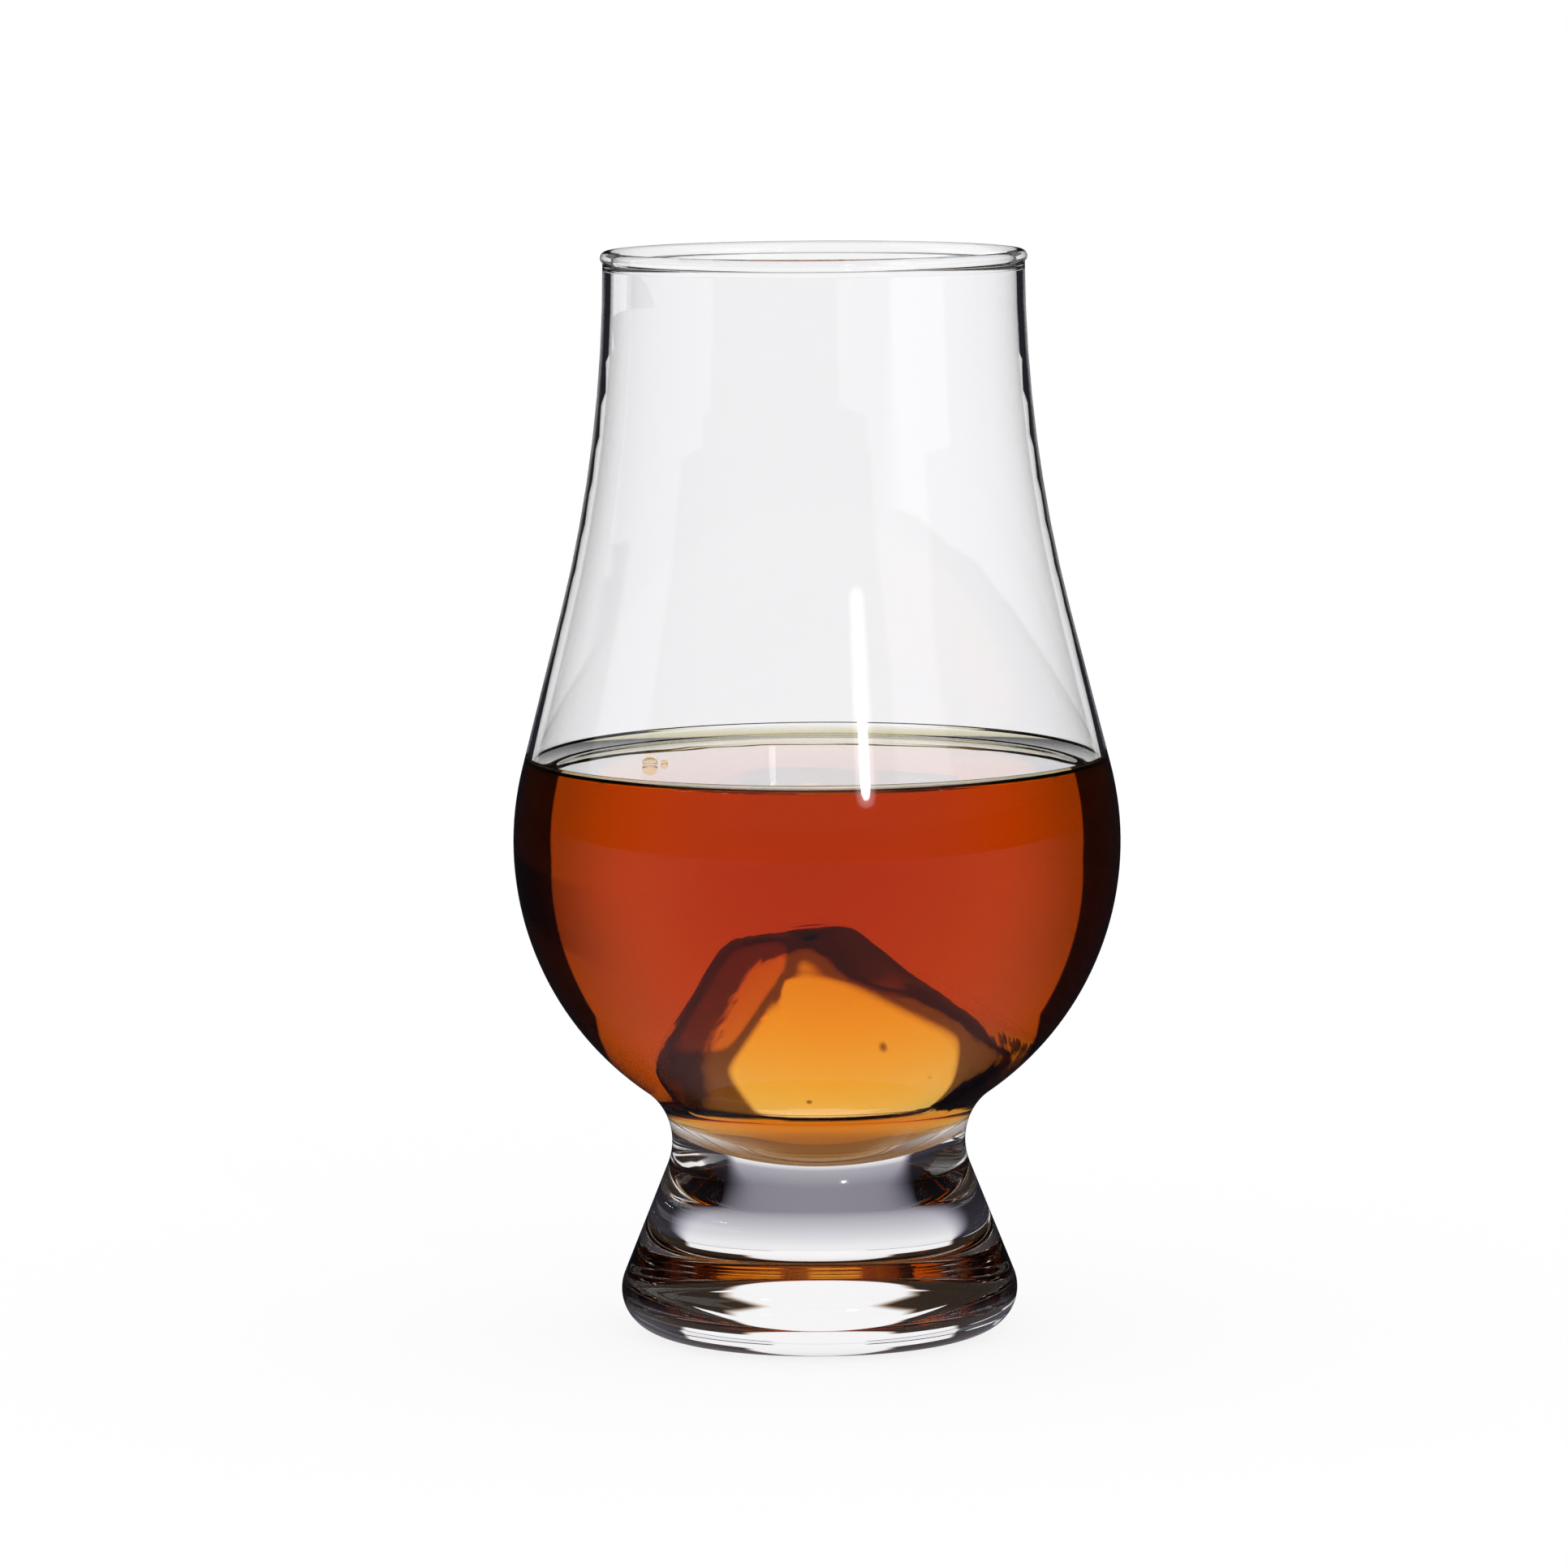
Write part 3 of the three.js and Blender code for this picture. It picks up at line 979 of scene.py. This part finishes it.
def make_floor():
    bpy.ops.object.select_all(action="DESELECT")
    bpy.ops.mesh.primitive_circle_add(
        vertices=FLOOR_STEPS, radius=FLOOR_REACH * MM, fill_type="NGON", location=(0, 0, -FLOOR_SINK * MM)
    )
    bpy.ops.object.transform_apply(location=True)
    floor = bpy.context.object
    floor.name = "floor"
    floor.data.materials.append(floor_material())


def floor_material():
    """Smooth white board: matt to plain light, so that it keeps the shadow.

    Through the foot it shows painted light and shade, and a painted sheen: paler the lower it is looked
    along.
    """
    material, tree = new_material("pale_floor")
    place = add_node(tree, "ShaderNodeTexCoord").outputs["Object"]
    reach = add_node(tree, "ShaderNodeVectorMath", {"operation": "LENGTH"}, {0: place}).outputs["Value"]
    slant = add_node(tree, "ShaderNodeLayerWeight", {"Blend": 0.5}).outputs["Facing"]
    # Painted shade under the foot and painted light around it; the glow fades far off, and strips start
    # further out
    painted_shade_under_foot, around, near, beyond = [
        add_node(
            tree,
            "ShaderNodeMapRange",
            SMOOTH | {"From Min": start * MM, "From Max": end * MM, "To Min": first, "To Max": last},
            {"Value": reach},
        ).outputs[0]
        for (start, end), first, last in (
            (UNDER_FOOT, UNDER_FOOT_LIGHT, 1.0),
            (AROUND_FOOT, 0.0, AROUND_FOOT_LIGHT),
            (FAR_FADE, 1.0, FAR_LIGHT),
            (SIGHT_START, 0.0, 1.0),
        )
    ]
    # Painted sheen, paler the lower the floor is looked along
    painted_sheen_and_shade = add_node(
        tree,
        "ShaderNodeMapRange",
        {
            "From Min": STEEP_SLANT,
            "From Max": GRAZING_SLANT,
            "To Min": STEEP_LIGHT,
            "To Max": GRAZING_LIGHT,
        },
        {"Value": slant},
    ).outputs[0]
    painted_sheen_and_shade = add_node(tree, "ShaderNodeMath", {"operation": "MULTIPLY"}, {0: painted_sheen_and_shade, 1: painted_shade_under_foot}).outputs[0]
    painted_sheen_and_shade = add_node(tree, "ShaderNodeMath", {"operation": "MAXIMUM"}, {0: painted_sheen_and_shade, 1: around}).outputs[0]

    # Painted light: lit wedges before the panels, and lit strips further out
    past = within_wedges(tree, place, PANEL_FOOT, PANELS)
    lit = add_node(
        tree,
        "ShaderNodeMapRange",
        SMOOTH
        | {
            "From Min": (WEDGE_START - WEDGE_SOFT) * MM,
            "From Max": (WEDGE_START + WEDGE_SOFT) * MM,
            "To Min": WEDGE_OUTSIDE_LIGHT,
        },
        {"Value": past},
    ).outputs[0]
    solid = painted_sheen_and_shade
    for share in (lit, near):
        solid = add_node(tree, "ShaderNodeMath", {"operation": "MULTIPLY"}, {0: solid, 1: share}).outputs[0]
    past = within_wedges(tree, place, SIGHT, SIGHTS)
    distant = add_node(
        tree,
        "ShaderNodeMapRange",
        SMOOTH | {"From Min": -SIGHT_SOFT * MM, "From Max": SIGHT_SOFT * MM},
        {"Value": past},
    ).outputs[0]
    distant = add_node(
        tree, "ShaderNodeMath", {"operation": "MULTIPLY"}, {0: distant, 1: beyond}
    ).outputs[0]
    solid = add_node(tree, "ShaderNodeMath", {"operation": "MAXIMUM"}, {0: solid, 1: distant}).outputs[0]
    through = seen_through(tree, lies_behind(tree, place, FLOOR_BACKDROP_SOFT * MM), solid)
    strength = seen_white(tree, 0.0, pale_front(tree, place, *FRONT_FLOOR), through)

    # Rays of the camera and the glass see it glow, and the camera some of its shade
    rays = add_node(tree, "ShaderNodeLightPath").outputs
    share = rays["Is Camera Ray"]
    for kind in ("Is Glossy Ray", "Is Transmission Ray"):
        share = add_node(
            tree, "ShaderNodeMath", {"operation": "MAXIMUM"}, {0: share, 1: rays[kind]}
        ).outputs[0]
    share = add_node(
        tree,
        "ShaderNodeMath",
        {"operation": "MULTIPLY_ADD", 1: -FLOOR_SHADE},
        {0: rays["Is Camera Ray"], 2: share},
    ).outputs[0]
    dull = add_node(tree, "ShaderNodeBsdfDiffuse", {"Color": linear("#FFFFFF")})
    colour = shade_colour(tree, "#D2CCE8", strength)
    glow = add_node(tree, "ShaderNodeEmission", links={"Color": colour, "Strength": strength})
    shade = add_node(tree, "ShaderNodeMixShader", links={0: share, 1: dull.outputs[0], 2: glow.outputs[0]})
    add_node(tree, "ShaderNodeOutputMaterial", links={"Surface": shade.outputs[0]})
    return material


def make_lamp():
    """A small lamp, a metre off. The glass mirrors its soft glow in the world instead of its hard edge."""
    light = bpy.data.lights.new("lamp", "AREA")
    light.shape = "ELLIPSE"
    light.size = LAMP_WIDTH * MM
    light.size_y = LAMP_LENGTH * MM
    light.energy = LAMP_POWER
    lamp = bpy.data.objects.new("lamp", light)
    bpy.context.scene.collection.objects.link(lamp)
    lamp.visible_glossy = False
    middle = Vector((0, 0, LAMP_AIM * MM))
    turn = LAMP_WAY.to_track_quat("Z", "Y").to_matrix().to_4x4()
    lamp.matrix_world = Matrix.Translation(middle + LAMP_WAY) @ turn


make_camera()
make_world()
make_floor()
make_lamp()

scene = bpy.context.scene
scene.view_settings.view_transform = "Standard"
scene.cycles.max_bounces = LAYERS
scene.cycles.transmission_bounces = LAYERS
scene.cycles.glossy_bounces = MIRRORS
scene.cycles.transparent_max_bounces = MIRRORS
